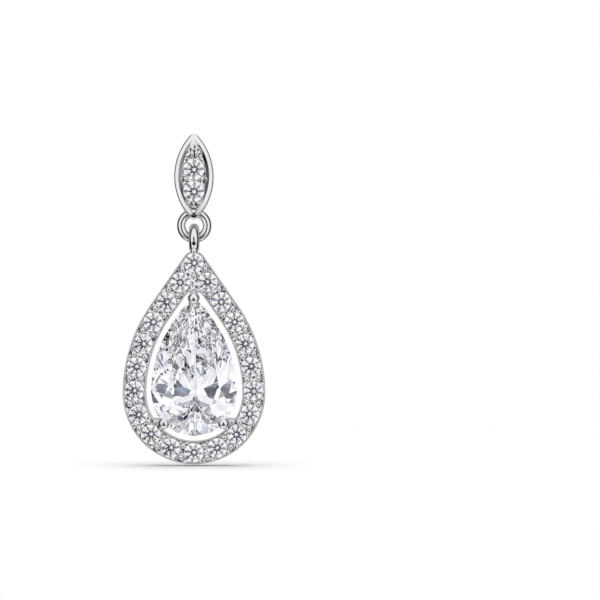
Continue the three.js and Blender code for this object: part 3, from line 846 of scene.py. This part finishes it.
def studBody():
    # Rows of pointed ovals from the middle of the flat back, round its edge, up the wall and over the rounded
    # rim to its crest, down a bevel to a ledge that widens at the upper tip, and down the pocket's wall to
    # the middle of its floor. Each row is one outline with its height and its scale, 0 for a middle.
    s = stud
    keys = ("outer", "rim", "ledge", "pocket", "floor")
    outer, rim, ledge, pocket, floorLine = (np.array(s[key]) for key in keys)
    inwards = np.array([1, 1, 1, 0])
    rows = [(*(outer - inwards * s["edge"]), 0, 0)]
    for a in np.linspace(0, math.pi / 2, 5):
        rows.append((*(outer - inwards * s["edge"] * (1 - math.sin(a))), s["edge"] * (1 - math.cos(a)), 1))
    crest = math.radians(s["crest"])
    for a in np.linspace(0, crest, 12):
        across = (1 - math.cos(a)) / (1 - math.cos(crest))
        height = s["shoulder"] + (s["depth"] - s["shoulder"]) * math.sin(a) / math.sin(crest)
        rows.append((*(outer + (rim - outer) * across), height, 1))
    for share in (0.06, 0.5, 0.94):
        height = s["depth"] + (s["ledgeHeight"] - s["depth"]) * share
        rows.append((*(rim + (ledge - rim) * share), height, 1))
    rows.append((*ledge, s["ledgeHeight"], 1))
    rows.append((*pocket, s["lipHeight"], 1))
    rows.append((*floorLine, s["floorHeight"], 1))
    rows.append((*floorLine, s["floorHeight"], 0))
    w, h, t, low, z, scale = np.array(rows, float).T
    x, y = marquiseRows(w, h, t)
    x, y = x * scale[:, None], y * scale[:, None] + low[:, None]
    faces = gridFaces(len(rows), x.shape[1], False, True)
    return meshObject("studBody", toFrame(x, y, z[:, None]), faces, 24)


studPiece = studBody()
studMiddle, studStoneRadius = stonePlace("stud_stone_upper")
seatRadius = studStoneRadius + seat["slack"]
for middle in studCentres:
    # one seat at a time, because the two seats all but touch
    studSeat = seatCutter("studSeat", [middle], studMiddle[2], seatRadius, stud["seatBottom"], stud["drill"])
    cutAway(studPiece, studSeat, creaseAngle)
put(studPiece, "stud", "silver", silverStud, "stud_setting")

link = {"radius": 1.06, "wire": 0.36}
jumpRing = ringAbout("jumpRing", (0, pivotY + link["radius"], linkZ), link["radius"], link["wire"], "z")
put(jumpRing, "stud", "silver", silverStud, "stud_setting")

# bead prongs: two upright ones over the upper stone, two at the waist, four in the lower tip
studBeads = {
    "top": 1.66,
    "spots": (
        # x, y, radius, length along y
        (-0.13, 1.83, 0.14, 0.3),
        (0.22, 1.83, 0.14, 0.3),
        (-0.66, -0.2, 0.2, 0),
        (0.68, -0.2, 0.2, 0),
        (-0.37, -2.16, 0.15, 0),
        (0.0, -2.2, 0.15, 0),
        (0.36, -2.18, 0.15, 0),
        (0.0, -2.46, 0.16, 0),
    ),
}
for number, (x, y, radius, length) in enumerate(studBeads["spots"], 1):
    top = (x, y, studBeads["top"])
    if length:
        bead = longBead(f"studBead{number}", top, radius, length)
    else:
        bead = latheCopies(f"studBead{number}", domeProfile(radius, beadStem), [top], 24, 50)
    put(bead, "stud", "silver", silverBead, "stud_setting")

post = {
    "radius": 0.4,
    "length": 10.5,
    "seated": 0.2,
    "notch": 9.2,  # the groove's middle, then half its mouth, half its floor and the radius in it
    "notchMouth": 0.25,
    "notchFloor": 0.12,
    "notchRadius": 0.34,
}
a = np.linspace(0, math.pi / 2, 9)
tipProfile = post["radius"] * np.column_stack([np.cos(a), 1 - np.sin(a)]) - [0, post["length"]]
tipProfile[-1, 0] = 0
notch = [
    (post["radius"], -post["notch"] + post["notchMouth"]),
    (post["notchRadius"], -post["notch"] + post["notchFloor"]),
    (post["notchRadius"], -post["notch"] - post["notchFloor"]),
    (post["radius"], -post["notch"] - post["notchMouth"]),
]
profile = np.concatenate([[(0, post["seated"]), (post["radius"], post["seated"])], notch, tipProfile])
put(latheCopies("earPost", profile, [(0, 0, 0)], 48, 40), "stud", "silver", silverPost, "ear_post")
print("stud and post made")


# The floor lies just under the drop and takes no part in mirror images, so polished metal and stones see
# only the studio all round.
floorLook = {
    "colour": (0.93, 0.93, 0.935),
    "shade": (0.9, 0.9, 0.91),
    "roughness": 0.7,
    "cloud": 60.0,
    "reach": 0.09,
    "gap": 0.12,  # millimetres under the drop
}


def paleFloor():
    # one flat square under the earring, with a faint cloudiness in its white
    material, tree, shader = newMaterial("paleFloor")
    shader["Roughness"].default_value = floorLook["roughness"]
    cloud = noiseNode(tree, addNode(tree, "ShaderNodeTexCoord").outputs["Object"], floorLook["cloud"])
    tone = mixNode(tree, cloud, (*floorLook["colour"], 1), (*floorLook["shade"], 1))
    feed(tree, shader["Base Color"], tone)
    reach, z = floorLook["reach"], cadBounds[0][2] - floorLook["gap"] * mm
    corners = np.array([[-reach, -reach, z], [reach, -reach, z], [reach, reach, z], [-reach, reach, z]])
    floor = meshObject("floor", corners, [(0, 1, 2, 3)])
    floor.data.materials.append(material)
    floor.visible_glossy = False
    floor.visible_transmission = False


paleFloor()

studio = {
    "skyOnFloor": 0.15,
    "panels": (
        # place in metres, width and length, power
        ((0, 0, 0.5), (0.8, 0.9), 5.1),
    ),
    "metalBack": 0.5,
    "backWall": 0.42,  # least light from behind, whatever the cards cover
    "metalCards": (
        # azimuth from the viewer, elevation, half width and height in degrees, softness, squareness, darkness
        (0, -6, 18, 22, 0.4, 2, 0.96),
        (0, -40, 42, 16, 0.3, 2, 0.99),
        (104, 10, 31, 50, 0.25, 3, 0.9),
        (116, -30, 24, 26, 0.3, 2, 0.97),
        (-96, 12, 28, 52, 0.25, 3, 0.88),
        (-100, -28, 28, 26, 0.3, 2, 0.97),
    ),
    "wobble": 0.04,
    "wobbleScale": 2.6,
    "mottle": 0.12,
    "mottleScale": 4.0,
    "stoneRings": (
        # share of the half turn from the viewer's side, and colour
        (0.0, (0.03, 0.032, 0.05)),
        (0.04, (0.05, 0.055, 0.085)),
        (0.06, (0.13, 0.14, 0.2)),
        (0.09, (0.24, 0.26, 0.34)),
        (0.107, (0.36, 0.46, 0.66)),
        (0.113, (0.85, 0.68, 0.54)),
        (0.12, (1.25, 1.24, 1.24)),
        (0.2, (1.3, 1.3, 1.33)),
        (0.26, (0.9, 0.92, 1.0)),
        (0.3, (1.3, 1.3, 1.34)),
        (0.38, (1.12, 1.14, 1.22)),
        (0.388, (1.0, 0.76, 0.6)),
        (0.395, (0.16, 0.18, 0.26)),
        (0.41, (0.2, 0.21, 0.28)),
        (0.425, (0.42, 0.44, 0.54)),
        (0.47, (0.5, 0.52, 0.62)),
        (0.52, (0.72, 0.76, 0.9)),
        (0.55, (1.1, 1.12, 1.2)),
        (0.7, (1.3, 1.3, 1.34)),
        (0.85, (0.95, 0.97, 1.06)),
        (1.0, (1.25, 1.25, 1.32)),
    ),
}


def cardShade(tree, direction, card):
    # A dark card in the studio: 1 outside it and near 0 inside. With a and b the direction's parts along the
    # card's width and height over its half sizes, it covers (|a|^p + |b|^p)^(1/p) < 1 on its own side.
    azimuth, elevation, halfWidth, halfHeight, soft, square, dark = card
    azimuth, elevation = math.radians(azimuth), math.radians(elevation)
    flat = math.cos(elevation)
    aim = np.array([math.sin(azimuth) * flat, -math.cos(azimuth) * flat, math.sin(elevation)])
    right = np.array([math.cos(azimuth), math.sin(azimuth), 0])
    parts = []
    for axis, half in ((right, halfWidth), (np.cross(right, aim), halfHeight)):
        part = dotNode(tree, direction, axis / math.sin(math.radians(half)))
        parts.append(mathNode(tree, "POWER", mathNode(tree, "ABSOLUTE", part), float(square)))
    spread = mathNode(tree, "POWER", mathNode(tree, "ADD", *parts), 1 / square)
    inside = rangeNode(tree, spread, 1 + soft, 1 - soft)
    ahead = mathNode(tree, "GREATER_THAN", dotNode(tree, direction, aim), 0.0)
    covered = mathNode(tree, "MULTIPLY", mathNode(tree, "MULTIPLY", inside, ahead), dark)
    return mathNode(tree, "SUBTRACT", 1.0, covered)


def studioWorld():
    # White to the eye. Metal mirrors a white tent, greyer behind, with dark cards at the viewer, below it and
    # at both sides. The stones gather uneven rings of white, grey and dark about the viewer.
    world = bpy.data.worlds.new("studio")
    bpy.context.scene.world = world
    world.use_nodes = True
    tree = world.node_tree
    tree.nodes.clear()
    direction = addNode(tree, "ShaderNodeTexCoord").outputs["Generated"]
    front = dotNode(tree, direction, (0, -1, 0))
    light = rangeNode(tree, front, -0.7, 0.1, studio["metalBack"], 1.0)
    for card in studio["metalCards"]:
        light = mathNode(tree, "MULTIPLY", light, cardShade(tree, direction, card))
    light = mathNode(tree, "MAXIMUM", light, rangeNode(tree, front, -0.5, -0.72, 0.0, studio["backWall"]))
    noise = noiseNode(tree, direction, studio["wobbleScale"], 3.0)
    turn = mathNode(tree, "MULTIPLY", mathNode(tree, "ARCCOSINE", front), 1 / math.pi)
    shift = rangeNode(tree, noise, 0.3, 0.7, -studio["wobble"], studio["wobble"])
    rings = addNode(tree, "ShaderNodeValToRGB")
    ramp = rings.color_ramp
    first, last = studio["stoneRings"][0], studio["stoneRings"][-1]
    ramp.elements[0].position, ramp.elements[0].color = first[0], (*first[1], 1)
    ramp.elements[1].position, ramp.elements[1].color = last[0], (*last[1], 1)
    for position, colour in studio["stoneRings"][1:-1]:
        ramp.elements.new(position).color = (*colour, 1)
    tree.links.new(mathNode(tree, "ADD", turn, shift), rings.inputs["Fac"])
    patches = cellsNode(tree, direction, studio["mottleScale"])
    mottle = rangeNode(tree, patches, 0.1, 0.6, 1.0, 1.0 - studio["mottle"])
    path = addNode(tree, "ShaderNodeLightPath")

    def background(colour, strength=1.0):
        node = addNode(tree, "ShaderNodeBackground")
        feed(tree, node.inputs["Strength"], strength)
        feed(tree, node.inputs["Color"], colour)
        return node.outputs[0]

    def either(choice, no, yes):
        mix = addNode(tree, "ShaderNodeMixShader")
        for socket, value in zip(mix.inputs, (choice, no, yes)):
            tree.links.new(value, socket)
        return mix.outputs[0]

    white = (1, 1, 1, 1)
    metal, stones = background(white, light), background(rings.outputs["Color"], mottle)
    seen = either(path.outputs["Is Transmission Ray"], metal, stones)
    seen = either(path.outputs["Is Diffuse Ray"], seen, background(white, studio["skyOnFloor"]))
    seen = either(path.outputs["Is Camera Ray"], seen, background(white))
    out = addNode(tree, "ShaderNodeOutputWorld")
    tree.links.new(seen, out.inputs["Surface"])


def softPanel(name, place, size, power):
    # a soft panel turned to the drop's foot; it lights the floor alone and lays the drop's shadow on it
    panel = bpy.data.lights.new(name, "AREA")
    panel.shape = "RECTANGLE"
    panel.size, panel.size_y = size
    panel.energy = power
    lamp = bpy.data.objects.new(name, panel)
    foot = Vector((0, 0, float(cadBounds[0][2])))
    lamp.location = place
    lamp.rotation_euler = (Vector(place) - foot).to_track_quat("Z", "Y").to_euler()
    lamp.visible_glossy = False
    lamp.visible_transmission = False
    bpy.context.scene.collection.objects.link(lamp)


for number, (place, size, power) in enumerate(studio["panels"], 1):
    softPanel(f"softPanel{number}", place, size, power)
studioWorld()

view = {
    "pixelsPerMm": 12.2,
    "frame": 600,
    "axisX": 194.3,
    "originY": 177.1,
    "distance": 320.0,
    "sensor": 36.0,
    "bounces": 24,
    "mirrorBounces": 12,
}

cameraData = bpy.data.cameras.new("camera")
camera = bpy.data.objects.new("camera", cameraData)
bpy.context.scene.collection.objects.link(camera)
frameWidth = view["frame"] / view["pixelsPerMm"]
camera.location = (
    (view["frame"] / 2 - view["axisX"]) / view["pixelsPerMm"] * mm,
    -view["distance"] * mm,
    -(view["frame"] / 2 - view["originY"]) / view["pixelsPerMm"] * mm,
)
camera.rotation_euler = (math.pi / 2, 0, 0)
cameraData.sensor_width = view["sensor"]
cameraData.lens = view["sensor"] * view["distance"] / frameWidth
cameraData.clip_start = 0.01
bpy.context.scene.camera = camera
bpy.context.scene.view_settings.view_transform = "Standard"
bpy.context.scene.cycles.max_bounces = view["bounces"]
bpy.context.scene.cycles.transmission_bounces = view["bounces"]
bpy.context.scene.cycles.glossy_bounces = view["mirrorBounces"]
print("light and camera placed")
